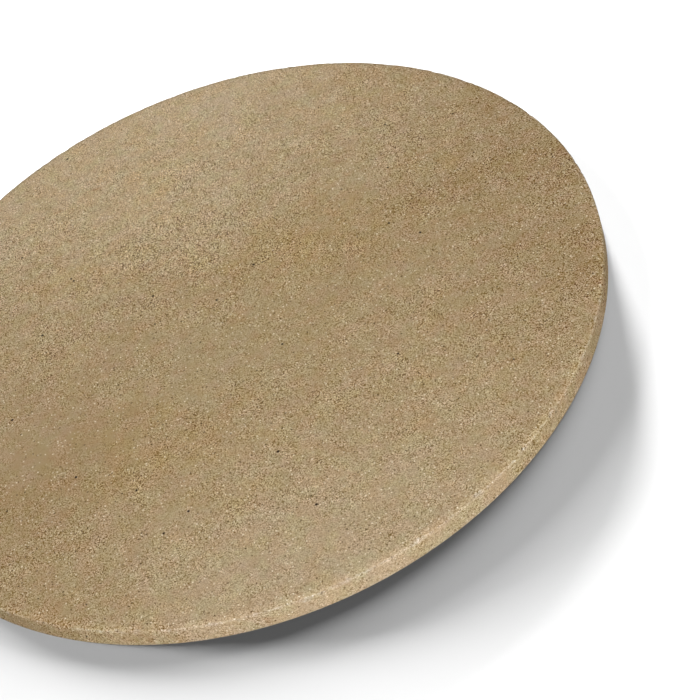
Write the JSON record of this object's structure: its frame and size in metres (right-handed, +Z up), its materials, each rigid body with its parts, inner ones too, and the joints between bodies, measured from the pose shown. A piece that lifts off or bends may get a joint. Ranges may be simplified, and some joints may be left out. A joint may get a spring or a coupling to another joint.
{
  "type": "pizza stone",
  "caption": "Round flat slab of unglazed fired ceramic with a softly bevelled rim, for baking pizza and bread on in an oven or grill.",
  "frame": {"origin": "centre of the underside, on the plane that the stone rests on", "axes": "+Z up through the baking face, along the stone's axis of symmetry; X and Y lie in the slab, and any pair at right angles would do, since it is round"},
  "size_m": [0.33, 0.33, 0.01],
  "materials": {
    "fired_clay": "unglazed and matt, fine sandy grain"
  },
  "bodies": {
    "root": {"baking_stone": "fired_clay"}
  },
  "joints": []
}
